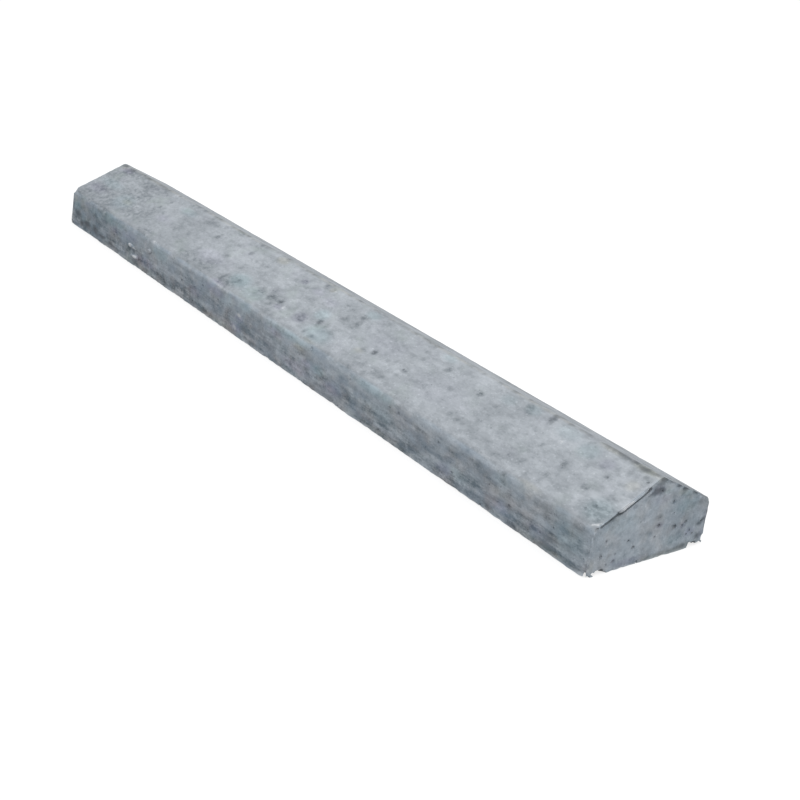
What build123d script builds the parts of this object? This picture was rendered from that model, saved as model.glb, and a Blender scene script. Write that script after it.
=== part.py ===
"""Twice-weathered wall coping: one length of precast concrete that caps a thin wall.

The section is a pentagon. A flat underside beds on the wall, two low sides rise from it, and two slopes meet at
a ridge on the centre line, so that rain runs off both ways. A drip groove along each edge of the underside stops
water from creeping back to the wall. The unit is cast upside down, so its sides and ends lean in as they rise.

The origin is the centre of the underside. X runs along the coping, Y across it, and Z up.
"""

import os
from math import cos, radians, sin, tan

from build123d import *

# Overall size in millimetres. Length and width are at the underside, and the heights are to the corners of the
# section before they are rounded.
LENGTH = 1000
WIDTH = 150
EAVE_HEIGHT = 45
RIDGE_HEIGHT = 80

# Mould details
DRAFT_ANGLE = 2
EAVE_RADIUS = 10
RIDGE_RADIUS = 6

# Drip grooves on the underside
DRIP_INSET = 16
DRIP_WIDTH = 12
DRIP_ROOT_WIDTH = 9
DRIP_DEPTH = 5
DRIP_ROOT_RADIUS = 1.5


def end_plane(side):
    """The leaning face of one end, whose foot is at half the length. Side is 1 or -1 along X."""
    lean = radians(DRAFT_ANGLE)
    foot = (side * LENGTH / 2, 0, 0)
    return Plane(origin=foot, x_dir=(0, 1, 0), z_dir=(side * cos(lean), 0, sin(lean)))


# The coping, cast in one piece
half_base = WIDTH / 2
half_eave = half_base - EAVE_HEIGHT * tan(radians(DRAFT_ANGLE))
drip_offset = half_base - DRIP_INSET

with BuildPart() as coping_stone:
    with BuildSketch(Plane.YZ.offset(-LENGTH / 2)) as wall_section:
        with BuildLine():
            Polyline(
                (-half_base, 0),
                (half_base, 0),
                (half_eave, EAVE_HEIGHT),
                (0, RIDGE_HEIGHT),
                (-half_eave, EAVE_HEIGHT),
                close=True,
            )
        make_face()
        fillet(wall_section.vertices().group_by(Axis.Y)[-1], radius=RIDGE_RADIUS)
        fillet(wall_section.vertices().group_by(Axis.Y)[1], radius=EAVE_RADIUS)
    extrude(amount=LENGTH)

    # Two drip grooves, each wider at its mouth than at its root
    with BuildSketch(Plane.YZ.offset(-LENGTH / 2)) as drip_section:
        with Locations((-drip_offset, 0), (drip_offset, 0)):
            with BuildLine(mode=Mode.PRIVATE) as drip_outline:
                Polyline(
                    (-DRIP_WIDTH / 2, 0),
                    (DRIP_WIDTH / 2, 0),
                    (DRIP_ROOT_WIDTH / 2, DRIP_DEPTH),
                    (-DRIP_ROOT_WIDTH / 2, DRIP_DEPTH),
                    close=True,
                )
            add(make_face(drip_outline.edges(), mode=Mode.PRIVATE))
        fillet(drip_section.vertices().group_by(Axis.Y)[-1], radius=DRIP_ROOT_RADIUS)
    extrude(amount=LENGTH, mode=Mode.SUBTRACT)

    # The two ends, trimmed to the lean of the mould's end plates
    for side in (-1, 1):
        split(bisect_by=end_plane(side), keep=Keep.BOTTOM)

coping_stone.part.label = "coping_stone"

os.makedirs("parts", exist_ok=True)
export_step(coping_stone.part, "parts/coping_stone.step")
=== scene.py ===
import math
import random

import bmesh
import bpy
from mathutils import Euler, Matrix, Vector, bvhtree, kdtree, noise


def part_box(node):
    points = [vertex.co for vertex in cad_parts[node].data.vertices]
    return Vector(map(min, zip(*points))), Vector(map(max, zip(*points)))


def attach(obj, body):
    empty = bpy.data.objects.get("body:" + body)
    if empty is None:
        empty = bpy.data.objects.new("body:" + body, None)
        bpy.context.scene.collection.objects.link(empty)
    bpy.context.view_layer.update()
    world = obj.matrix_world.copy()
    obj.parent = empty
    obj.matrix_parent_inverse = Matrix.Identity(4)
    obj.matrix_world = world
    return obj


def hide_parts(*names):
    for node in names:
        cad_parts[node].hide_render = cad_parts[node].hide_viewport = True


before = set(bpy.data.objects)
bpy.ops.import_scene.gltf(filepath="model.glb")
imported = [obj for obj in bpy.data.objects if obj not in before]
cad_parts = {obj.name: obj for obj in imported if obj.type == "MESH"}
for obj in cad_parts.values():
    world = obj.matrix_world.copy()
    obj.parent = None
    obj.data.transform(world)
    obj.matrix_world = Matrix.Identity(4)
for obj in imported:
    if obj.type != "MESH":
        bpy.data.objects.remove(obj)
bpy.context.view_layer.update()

# The coping
# One length of precast concrete with a section like a low house. It is poured upside down into a mould,
# so its slopes and sides are a smooth cement skin with air holes in it, and its foot is the rough edge that
# the trowel left.
mm = 0.001
_, stone_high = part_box("coping_stone")
half_length = stone_high.x
half_width = stone_high.y
eave_height = 45 * mm
ridge_height = 80 * mm
eave_radius = 10 * mm
ridge_radius = 6 * mm
mould_draft = math.radians(2)
drip_inset = 16 * mm
drip_mouth = 12 * mm
drip_root = 9 * mm
drip_depth = 5 * mm
half_eave = half_width - eave_height * math.tan(mould_draft)
pitch = math.atan2(ridge_height - eave_height, half_eave)
grid_step = 2.4 * mm
underside_coarseness = 3
section_rounding_steps = 5
squarely = 0.9


def rounded_section():
    """The coping's section as one face at its far end, with its eaves and ridge rounded."""
    section = bmesh.new()
    drip = half_width - drip_inset
    right_half = [
        (0, ridge_height),
        (half_eave, eave_height),
        (half_width, 0),
        (drip + drip_mouth / 2, 0),
        (drip + drip_root / 2, drip_depth),
        (drip - drip_root / 2, drip_depth),
        (drip - drip_mouth / 2, 0),
    ]
    left_half = [(-across, height) for across, height in reversed(right_half[1:])]
    outline = right_half + left_half
    corners = [section.verts.new((-half_length, across, height)) for across, height in outline]
    section.faces.new(corners)
    eave_turn = math.pi / 2 - mould_draft - pitch
    roundings = [
        ([corners[0]], ridge_radius * math.tan(pitch)),
        ([corners[1], corners[-1]], eave_radius * math.tan(eave_turn / 2)),
    ]
    for rounded, cut_back in roundings:
        bmesh.ops.bevel(
            section,
            geom=rounded,
            offset=cut_back,
            segments=section_rounding_steps,
            profile=0.5,
            affect='VERTICES',
            material=-1,
        )
    return section


def on_underside(face):
    """Whether a face looks straight down."""
    return face.normal.z < -squarely


def on_end(face):
    """Whether a face looks straight along the coping."""
    return abs(face.normal.x) > squarely


def slice_faces(shape, faces, place, across):
    """Cuts the given faces along a plane, and leaves the rest of the shape alone.

    What is cut is listed in a dictionary, which keeps its order, so that each run gives the same mesh.
    """
    parts = dict.fromkeys(faces)
    for face in faces:
        parts.update(dict.fromkeys(face.edges))
        parts.update(dict.fromkeys(face.verts))
    bmesh.ops.bisect_plane(shape, geom=list(parts), plane_co=place, plane_no=across, dist=0.1 * mm)
    shape.normal_update()


def cut_into_grid(shape):
    """Draws the section out to the coping's length and divides its surface into small cells.

    The sides are drawn face by face, because an extrusion numbers its faces in a new order on each run, and
    the blots and air holes below are dealt out over the faces by number.
    """
    far_ring = shape.faces[:][0].verts[:]
    near_ring = [shape.verts.new((half_length, vert.co.y, vert.co.z)) for vert in far_ring]
    shape.faces.new(near_ring[::-1])
    for i in range(len(far_ring)):
        shape.faces.new((far_ring[i - 1], far_ring[i], near_ring[i], near_ring[i - 1]))
    bmesh.ops.recalc_face_normals(shape, faces=shape.faces[:])
    shape.normal_update()

    cuts_across = round(2 * half_width / grid_step)
    for i in range(1, cuts_across):
        place = (0, -half_width + 2 * half_width * i / cuts_across, 0)
        coarse_cut = i % underside_coarseness == 0
        faces = [face for face in shape.faces if coarse_cut or not on_underside(face)]
        slice_faces(shape, faces, place, (0, 1, 0))
    cuts_up = round(eave_height / grid_step)
    for i in range(1, cuts_up):
        slice_faces(shape, shape.faces[:], (0, 0, eave_height * i / cuts_up), (0, 0, 1))

    lengthwise = [edge for edge in shape.edges if edge.calc_length() > half_length]
    cuts_along = round(2 * half_length / grid_step)
    bmesh.ops.subdivide_edges(shape, edges=lengthwise, cuts=cuts_along - 1, use_grid_fill=True)
    shape.normal_update()

    height = eave_height
    while height < ridge_height:
        slice_faces(shape, [face for face in shape.faces if on_end(face)], (0, 0, height), (0, 0, 1))
        height += grid_step
    end_edges = dict.fromkeys(edge for face in shape.faces if on_end(face) for edge in face.edges)
    bmesh.ops.subdivide_edges(shape, edges=list(end_edges), cuts=1, use_grid_fill=True)

    # The mould's end plates lean, so the coping is shorter at its ridge than at its foot.
    for vert in shape.verts:
        vert.co.x *= 1 - vert.co.z * math.tan(mould_draft) / half_length
    bmesh.ops.recalc_face_normals(shape, faces=shape.faces[:])
    shape.normal_update()


def fade(distance, reach):
    """1 at no distance, falling smoothly to 0 at the reach."""
    left = max(0, 1 - distance / reach)
    return left * left * (3 - 2 * left)


def bumps(place, size, stretch=1):
    """Smooth noise from about -1 to 1, whose bumps can be drawn out along the coping."""
    return noise.noise(Vector((place.x / stretch, place.y, place.z)) / size)


def worn_depth(place):
    """How far the surface lies under the mould's face at a place."""
    from_end = half_length - place.z * math.tan(mould_draft) - abs(place.x)
    from_side = half_width - place.z * math.tan(mould_draft) - abs(place.y)
    from_slope = (ridge_height - place.z - abs(place.y) * math.tan(pitch)) * math.cos(pitch)
    from_skin = max(0, min(from_side, from_slope))

    # The swell of the skin, broad and then finer
    depth = 0.2 * mm + 0.2 * mm * bumps(place, size=55 * mm) + 0.12 * mm * bumps(place, size=13 * mm)

    # The ends, where the skin is coarser
    on_end_face = fade(from_end, 2 * mm)
    coarse = 0.25 * mm + 0.3 * mm * bumps(place, size=5 * mm) + 0.25 * mm * bumps(place, size=11 * mm)
    depth += on_end_face * coarse

    # Long ridges along the lower part of the sides
    on_side_face = fade(from_side, 2 * mm) * (1 - on_end_face)
    low_band = fade(place.z, 34 * mm)
    ridges = bumps(place, size=5 * mm, stretch=7) + 0.6 * bumps(place, size=3.4 * mm, stretch=2)
    depth += on_side_face * low_band * (0.4 * mm + 0.7 * mm * ridges)

    # Arrises that have crumbled here and there, and upright corners that are blunt all the way up
    end_arris = fade(max(from_end, from_skin), 4.5 * mm)
    upright_corner = fade(max(from_end, from_side), 8 * mm)
    foot_arris = fade(max(place.z, from_side), 4 * mm)
    chipping = max(0, bumps(place, size=6 * mm) + 0.45 * bumps(place, size=17 * mm))
    depth += 0.5 * mm * ((end_arris + foot_arris) * chipping + 2.4 * upright_corner)
    return max(0, depth)


coping_shape = rounded_section()
cut_into_grid(coping_shape)


def slope_place(along, down):
    """A place on the near slope, by millimetres along the coping and across from the ridge.

    Where the second is below 0, the place is on the far slope.
    """
    return Vector((along * mm, -down * mm, ridge_height - abs(down) * mm * math.tan(pitch)))


def side_place(along, up):
    """A place on the near side, by millimetres along the coping and up from its foot."""
    return Vector((along * mm, -half_width + up * mm * math.tan(mould_draft), up * mm))


def end_place(across, up):
    """A place on the near end, by millimetres across from its middle and up from its foot."""
    return Vector((half_length - up * mm * math.tan(mould_draft), across * mm, up * mm))


# Blots are shallow hollows with dirt in them and painted shade round their rims, a few millimetres wide,
# where the skin was thin over a bubble. The first ones are where the photograph shows them: by millimetres
# along and across from the ridge on the slope, or across and up on the end, then the radius in millimetres
# and how marked each one is.
blots_on_slope = [
    (3, 6, 4, 0.8), (17, 6, 4, 0.7), (52, 14, 3, 0.5), (67, 14, 4, 0.5), (55, 22, 3, 0.4), (71, 29, 4, 0.6),
    (89, 17, 4, 0.6), (92, 24, 5, 0.8), (95, 30, 4, 0.6), (52, 44, 4.5, 0.8), (56, 51, 4, 0.7),
    (24, 52, 6, 0.7), (31, 55, 6, 0.8), (66, 48, 4, 0.6), (53, 63, 4, 0.5), (66, 65, 4, 0.5),
    (147, 42, 5, 1), (132, 46, 3.5, 0.6), (172, 33, 3, 0.5), (178, 38, 3, 0.6), (197, 42, 4, 0.8),
    (195, 51, 4, 0.6), (173, 61, 3.5, 0.5), (187, 61, 3.5, 0.6), (180, 68, 3, 0.4), (233, 17, 4.5, 0.9),
    (220, 45, 3.5, 0.5), (232, 48, 3.5, 0.5), (207, 66, 4, 0.5), (165, 20, 3, 0.4), (193, 12, 3.5, 0.5),
    (137, 23, 3, 0.3), (287, 22, 4.5, 1), (276, 33, 3, 0.4), (254, 33, 3, 0.5), (343, 12, 6, 0.5),
    (368, 6, 4.5, 0.9), (370, 11, 4, 0.8), (385, 33, 3, 0.6), (382, 45, 3, 0.6), (377, 49, 3, 0.5),
    (418, 36, 3, 0.7), (420, 41, 3.5, 0.8), (437, 29, 3, 0.6), (461, 27, 3.5, 0.6), (455, 45, 5, 0.7),
    (415, 54, 3, 0.7), (417, 62, 3, 0.5), (402, 65, 3, 0.5), (285, 55, 3.5, 0.6), (297, 56, 3.5, 0.5),
    (273, 65, 3.5, 0.4), (387, 54, 3.5, 0.5), (390, 69, 3, 0.5), (472, 15, 3, 0.8), (482, 17, 3, 0.7),
    (492, 9, 3.5, 1), (478, 4, 4, 0.9), (486, 11, 3, 0.8), (450, 9, 3, 0.6), (420, 5, 3, 0.6),
    (408, 5, 3, 0.5), (466, 20, 3, 0.5), (-203, 23, 4.5, 0.8), (-213, 7, 5, 0.6), (-133, 19, 4.5, 0.7),
    (-162, 19, 3.5, 0.6), (-152, 10, 4, 0.5), (-227, 12, 4, 0.5), (-158, 27, 3.5, 0.5),
    (-155, 38, 5.5, 0.8), (-220, 44, 4, 0.5), (-195, 44, 4, 0.5), (-202, 49, 4, 0.6), (-188, 49, 4, 0.5),
    (-90, 23, 5, 0.6), (-78, 22, 5, 0.5), (-117, 40, 4, 0.6), (-80, 35, 4, 0.4), (-57, 49, 5, 0.8),
    (-50, 50, 4.5, 0.7), (-40, 45, 5, 0.8), (-33, 52, 6, 0.8), (-27, 60, 5, 0.7), (-18, 50, 5, 1),
    (-8, 55, 5.5, 1), (-60, 57, 4.5, 0.6), (-48, 5, 4, 0.6), (-38, 17, 4, 0.6), (-27, 15, 4.5, 0.7),
    (-12, 20, 4, 0.5), (-180, 3, 5, 0.7), (-465, 4, 6, 1), (-474, 10, 6, 1), (-458, 7, 5, 0.9),
    (-338, 18, 6, 0.6), (-340, 28, 3.5, 0.7), (-352, 53, 4, 0.6), (-385, 8, 5, 0.5), (-388, 27, 8, 0.4),
    (-433, 53, 6, 0.5), (-310, 23, 5, 0.4), (-323, 32, 4, 0.4), (-283, 20, 5, 0.4), (-120, 58, 6, 0.5),
    (-95, 55, 5, 0.5), (8, 66, 5, 0.5),
]
blots_on_end = [
    (-27.5, 24.5, 2.4, 1), (-20, 16, 2.6, 1), (-42, 8, 3, 1), (-39, 22, 2.2, 0.6), (-56, 31, 2.4, 0.7),
    (-48, 54, 2.4, 0.8), (-28, 57, 3, 0.8), (-54, 50, 2.6, 0.9), (-33, 46, 3, 0.5), (-3, 50, 2.6, 0.5),
    (-14, 44, 2.4, 0.4), (7, 40, 4, 0.4), (8, 32, 3.4, 1), (-1, 26, 2.8, 0.4), (29, 26, 3.2, 1),
    (41, 24, 3, 0.8), (45, 28, 2.2, 0.8), (51, 19, 2.6, 0.6), (56, 15, 3, 0.5), (31, 14, 2.6, 0.5),
    (29, 9, 3, 0.6), (24, 39, 2.2, 0.5), (22.5, 52, 3.2, 0.9), (32.5, 57, 3, 0.8), (41, 53, 2.4, 0.6),
    (51, 44, 2.4, 0.5), (11, 64, 2.4, 0.7), (-7.5, 68, 4, 0.8), (2, 67, 4, 1), (-16, 60, 2.4, 0.6),
    (62, 21, 3.4, 1), (67, 24, 3, 0.9), (-60, 18, 2.4, 0.4), (-8, 12, 3, 0.4), (12, 20, 3, 0.3),
    (-66, 40, 2.4, 0.5),
]
blot_depth = 0.45 * mm
blot_rim = 0.8 * mm
blot_reach = 8 * mm
blots_tried = 1200
kept_on_near_slope = 0.45
kept_elsewhere = 0.8

# One seed for what is dealt out by chance, and one for the noise that dents a ball
chance = random.Random(11)
noise.seed_set(11)

# The rest are dealt out by chance, fewer of them on the near slope, which has most of the first ones.
skin_faces = [face for face in coping_shape.faces if not on_underside(face)]
skin_areas = [face.calc_area() for face in skin_faces]
blots = [(slope_place(along, down), radius * mm, marked) for along, down, radius, marked in blots_on_slope]
blots += [(end_place(across, up), radius * mm, marked) for across, up, radius, marked in blots_on_end]
for face in chance.choices(skin_faces, weights=skin_areas, k=blots_tried):
    on_near_slope = face.normal.z > 0.5 and face.normal.y < 0
    if chance.random() < (kept_on_near_slope if on_near_slope else kept_elsewhere):
        radius = chance.uniform(2, 4.6) * mm
        blots.append((face.calc_center_median(), radius, chance.uniform(0.15, 0.7)))
blot_finder = kdtree.KDTree(len(blots))
for i, (place, _, _) in enumerate(blots):
    blot_finder.insert(place, i)
blot_finder.balance()


def blot_at(place):
    """How deep in a blot a place is, from 0 to 1."""
    deepest = 0
    for _, i, distance in blot_finder.find_range(place, blot_reach):
        _, radius, marked = blots[i]
        deepest = max(deepest, marked * fade(distance, radius + blot_rim))
    return deepest


# Each point is sunk under the mould's face by its wear and its blot, and none goes below the ground.
for vert in coping_shape.verts:
    vert.co -= vert.normal * (worn_depth(vert.co) + blot_depth * blot_at(vert.co))
    vert.co.z = max(vert.co.z, 0)
coping_shape.normal_update()
skin = bvhtree.BVHTree.FromBMesh(coping_shape)

coping_mesh = bpy.data.meshes.new("cast_coping")
coping_shape.to_mesh(coping_mesh)
cast_coping = bpy.data.objects.new("cast_coping", coping_mesh)
bpy.context.collection.objects.link(cast_coping)


def cut_or_join(piece, tool_shape, operation):
    """Takes a tool shape out of a piece, or joins it on, and keeps the result as the piece's own mesh."""
    tool_mesh = bpy.data.meshes.new("tool")
    tool_shape.to_mesh(tool_mesh)
    tool_shape.free()
    tool = bpy.data.objects.new("tool", tool_mesh)
    bpy.context.collection.objects.link(tool)
    boolean = piece.modifiers.new("work", 'BOOLEAN')
    boolean.operation = operation
    boolean.solver = 'MANIFOLD'
    boolean.object = tool
    worked = piece.evaluated_get(bpy.context.evaluated_depsgraph_get())
    finished = bpy.data.meshes.new_from_object(worked)
    piece.modifiers.remove(boolean)
    old_mesh = piece.data
    piece.data = finished
    bpy.data.meshes.remove(old_mesh)
    bpy.data.objects.remove(tool)
    bpy.data.meshes.remove(tool_mesh)


# Flash is a torn lip of cement paste that leaked past the mould's end plate and broke off in places. It
# runs along the top arris of the near end, with the narrow gap that it left under itself. The last three
# values are in millimetres above the slope.
flash_cell = 1.3 * mm
flash_cuts_outward = 6
tear_length = 9 * mm
fine_tear_length = 2.5 * mm
flash_root = -0.6
flash_rise = 1.2
gap_top = -1.15


def top_arris_place(down):
    """A place on the top arris of the near end, by millimetres across from the ridge."""
    place = slope_place(0, down)
    place.x = end_place(0, ridge_height / mm - down * math.tan(pitch)).x
    return place


def torn_strip(first_down, last_down, inner, outer, under, torn):
    """A ragged bar along the top arris of the near end: flash to be joined on, or a gap to be cut out.

    It runs between two places on the arris. Its inner and outer faces are set off from the end, and its
    lower face from the slope, all in millimetres. The flash tears at its outer face, and the gap at its
    inner one.
    """
    first = top_arris_place(first_down)
    last = top_arris_place(last_down)
    run = last - first
    strip = bmesh.new()
    bmesh.ops.create_cube(strip, size=1)
    for axis, cuts in ((0, round(run.length / flash_cell)), (1, flash_cuts_outward)):
        edges = []
        for edge in strip.edges:
            start, stop = edge.verts
            if abs(start.co[axis] - stop.co[axis]) > 0.5:
                edges.append(edge)
        bmesh.ops.subdivide_edges(strip, edges=edges, cuts=cuts, use_grid_fill=True)
    for vert in strip.verts:
        along = vert.co.x + 0.5
        outward = vert.co.y + 0.5
        tear = 0.8 + 0.5 * noise.noise(Vector((along * run.length / tear_length, first_down, 0)))
        tear += 0.2 * noise.noise(Vector((along * run.length / fine_tear_length, first_down, 0)))
        # The tear runs out to nothing over the last stretch towards both of its tips.
        tear *= fade(abs(2 * along - 1) ** 6, 1)
        if torn == "flash":
            vert.co.y = inner + (outer * tear - inner) * outward
            vert.co.z = flash_rise * outward + flash_root if vert.co.z > 0 else -under
        else:
            vert.co.y = inner * tear + (outer - inner * tear) * outward
            vert.co.z = gap_top if vert.co.z > 0 else -under * (0.85 + 0.3 * tear)
        vert.co.y *= mm
        vert.co.z *= mm
    along = run.normalized()
    out = Vector((math.cos(mould_draft), 0, math.sin(mould_draft)))
    across = out.cross(along).normalized()
    turn = Matrix((along, out, across)).transposed().to_4x4()
    bmesh.ops.scale(strip, verts=strip.verts[:], vec=(run.length, 1, 1))
    bmesh.ops.transform(strip, matrix=Matrix.Translation((first + last) / 2) @ turn, verts=strip.verts[:])
    bmesh.ops.recalc_face_normals(strip, faces=strip.faces[:])
    return strip


cut_or_join(cast_coping, torn_strip(49, 16, -1.6, 1.8, 1.1, "flash"), 'UNION')
clear_of_end = 5
for first_down, last_down, inner, under in ((69, 43, -2.6, 3.6), (49, 12, -5, 5)):
    gap = torn_strip(first_down, last_down, inner, clear_of_end, under, "gap")
    cut_or_join(cast_coping, gap, 'DIFFERENCE')

dent_size = 2.2 * mm
dent_share = 0.17


def add_dented_ball(shape, place, half_sizes, turn, subdivisions):
    """Adds a lumpy ball, which a hole or a broken place gets its hollow from, and a lump its shape."""
    grown = Matrix.Translation(place) @ turn @ Matrix.Diagonal((*half_sizes, 1))
    ball = bmesh.ops.create_icosphere(shape, subdivisions=subdivisions, radius=1, matrix=grown)
    for vert in ball["verts"]:
        vert.co += noise.noise_vector(vert.co / dent_size) * min(half_sizes) * dent_share


# Broken places along the arrises: the lips of the drips and the corners at the near end, the corners of the
# far end, and nicks along the foot. Each has its centre and half sizes along X, Y and Z in millimetres.
broken_places = [
    (501, -76, -0.5, 4, 4, 3), (500, -70, -2, 7, 8, 4), (500, -66, 0, 6, 3, 4.2),
    (500, -53.5, 0, 5, 4, 2.4), (501, 70, -1.8, 7, 11, 5.4), (499, 20, -0.8, 3, 6, 1.8),
    (499, -31, -0.8, 3, 5, 1.6), (502.5, -76.5, 45, 10, 9, 7),
    (-499, -45, 61.5, 1, 10, 3), (-499, -60, 53.5, 1.5, 6, 3.5), (-499, -71, 45, 3, 5, 5),
    (-499.5, -75, 32, 3, 2.5, 7),
    (-499, 30, 67, 3.5, 8, 3), (-498, 68, 47, 4.5, 5, 4), (-499, 74, 8, 5, 3, 9),
    (498, 74.5, 5, 4, 2.5, 5), (500, 40, 62.5, 2.4, 7, 2), (-499, -10, -0.5, 4, 8, 2),
    (-250, 75, 1, 9, 2, 2.5), (130, 75, 1, 7, 2, 2.4), (330, 75.5, 0, 14, 2, 3),
    (-90, -75.6, 0, 8, 1.6, 2), (-420, -75.6, 0.5, 12, 1.6, 2.4),
]
broken_shape = bmesh.new()
for x, y, z, half_x, half_y, half_z in broken_places:
    half_sizes = (half_x * mm, half_y * mm, half_z * mm)
    add_dented_ball(broken_shape, Vector((x, y, z)) * mm, half_sizes, Matrix.Identity(4), 3)
cut_or_join(cast_coping, broken_shape, 'DIFFERENCE')

# Three lumps of paste that were left standing on the near side, by millimetres along, up, half length and
# half height
lump_height = 1.6 * mm
lumps_shape = bmesh.new()
for along, up, half_along, half_up in ((-323, 22.5, 9, 2.6), (-312, 11.5, 11, 2.2), (-276, 31, 5, 3)):
    half_sizes = (half_along * mm, lump_height, half_up * mm)
    add_dented_ball(lumps_shape, side_place(along, up), half_sizes, Matrix.Identity(4), 3)
cut_or_join(cast_coping, lumps_shape, 'UNION')

# A split that runs in from the near left corner and out through the foot
split_place = Vector((496, -71.4, 1)) * mm
split_half_sizes = (10 * mm, 1.2 * mm, 3.6 * mm)
split_turn = Vector((-0.55, 0.68, -0.48)).to_track_quat('X', 'Z').to_matrix().to_4x4()
split_shape = bmesh.new()
add_dented_ball(split_shape, split_place, split_half_sizes, split_turn, 3)
cut_or_join(cast_coping, split_shape, 'DIFFERENCE')

# Air holes, left where bubbles were caught against the mould. The first ones are where the photograph shows
# them: on the slope by millimetres along, down from the ridge and radius, then on the end by millimetres
# across, up and radius.
air_holes = []
air_holes_tried = 1100
holes_kept_on_slopes = 0.22
holes_kept_elsewhere = 0.8
hole_spacing = 1.5
coarse_hole_radius = 1.3 * mm


def add_air_hole(place, normal, radius):
    """Keeps a hole if it stays clear of its neighbours."""
    for other_place, _, other_radius in air_holes:
        if (place - other_place).length < hole_spacing * (radius + other_radius):
            return
    air_holes.append((place, normal, radius))


holes_on_slope = [
    (147, 43, 2), (286, 21, 1.4), (368, 8, 1.4), (461, 27, 1), (434, 35, 1.1), (420, 40, 1.2),
    (417, 53, 1.1), (95, 27, 1), (30, 55, 1), (195, 42, 1.2), (232, 17, 1.1), (-16, 50, 1.3),
    (-205, 23, 1.2), (-339, 28, 1.2), (492, 12, 1.3), (478, 54, 1.2),
]
holes_on_end = [
    (-28, 25, 1.4), (-20, 17, 1.6), (-43, 9, 1.7), (8, 32, 1.6), (30, 26, 1.8), (40, 25, 1.4),
    (45, 28, 1.3), (22, 52, 1.5), (52, 18, 1.2), (57, 14, 1.3), (-56, 31, 1.1), (3, 66, 1), (66, 24, 1.5),
]
noted_holes = [(slope_place(along, down), radius) for along, down, radius in holes_on_slope]
noted_holes += [(end_place(across, up), radius) for across, up, radius in holes_on_end]
for above, radius in noted_holes:
    place, normal, _, _ = skin.find_nearest(above)
    add_air_hole(place, normal, radius * mm)
# The rest are dealt out by chance: most are small, and few are on the slopes, where bubbles didn't stay.
for face in chance.choices(skin_faces, weights=skin_areas, k=air_holes_tried):
    radius = (0.6 + 1.1 * chance.random() ** 3) * mm
    on_a_slope = abs(face.normal.z) > 0.5
    if chance.random() < (holes_kept_on_slopes if on_a_slope else holes_kept_elsewhere):
        add_air_hole(face.calc_center_median(), face.normal.copy(), radius)
coping_shape.free()

# Each hole is turned by chance, a little longer than wide, and shallower where it faces up.
holes_shape = bmesh.new()
for place, normal, radius in air_holes:
    facing_out = normal.to_track_quat('Z', 'X').to_matrix().to_4x4()
    turn = facing_out @ Matrix.Rotation(chance.uniform(0, math.pi), 4, 'Z')
    half_sizes = (radius * chance.uniform(1, 1.5), radius, radius * chance.uniform(0.7, 1.1))
    raised = place + normal * radius * (chance.uniform(-0.15, 0.35) + 0.35 * max(0, normal.z))
    add_dented_ball(holes_shape, raised, half_sizes, turn, 2 if radius > coarse_hole_radius else 1)
cut_or_join(cast_coping, holes_shape, 'DIFFERENCE')


def without_crumbs(mesh):
    """Keeps the largest lump of a mesh, and takes away what the cuts left loose beside it."""
    shape = bmesh.new()
    shape.from_mesh(mesh)
    unseen = set(shape.verts)
    lumps = []
    while unseen:
        reached = [unseen.pop()]
        for vert in reached:
            found = {edge.other_vert(vert) for edge in vert.link_edges} & unseen
            unseen -= found
            reached.extend(found)
        lumps.append(reached)
    lumps.sort(key=len)
    for lump in lumps[:-1]:
        bmesh.ops.delete(shape, geom=lump, context='VERTS')
    shape.to_mesh(mesh)
    shape.free()


coping_mesh = cast_coping.data
coping_mesh.name = "cast_coping"
without_crumbs(coping_mesh)
coping_mesh.set_sharp_from_angle(angle=math.radians(38))

# What is painted on the skin by place: dirt that darkens it, lime bloom and fresh chips that make it paler,
# a painted highlight on the flash, faint tints, the blots, black marks, black in and round the air holes,
# painted shade in the gap behind the flash, and which slope is the far one.
skin_points = kdtree.KDTree(len(coping_mesh.vertices))
for vertex in coping_mesh.vertices:
    skin_points.insert(vertex.co, vertex.index)
skin_points.balance()
dab_fullness = 1.6


def dab(layer, place, half_sizes, strength):
    """Paints a soft-edged oval round a place, over what is there, with half sizes along X, Y and Z."""
    for point, i, _ in skin_points.find_range(place, max(half_sizes)):
        offset = point - place
        distance = Vector([offset[axis] / half_sizes[axis] for axis in range(3)]).length
        layer[i] = 1 - (1 - layer[i]) * (1 - strength * min(1, dab_fullness * fade(distance, 1)))


points = len(coping_mesh.vertices)
paint_names = ("dirty", "pale", "teal", "plum", "olive", "black", "hidden_slope")
paint = {name: [0.0] * points for name in paint_names}
paint["blotted"] = [blot_at(vertex.co) for vertex in coping_mesh.vertices]

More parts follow.
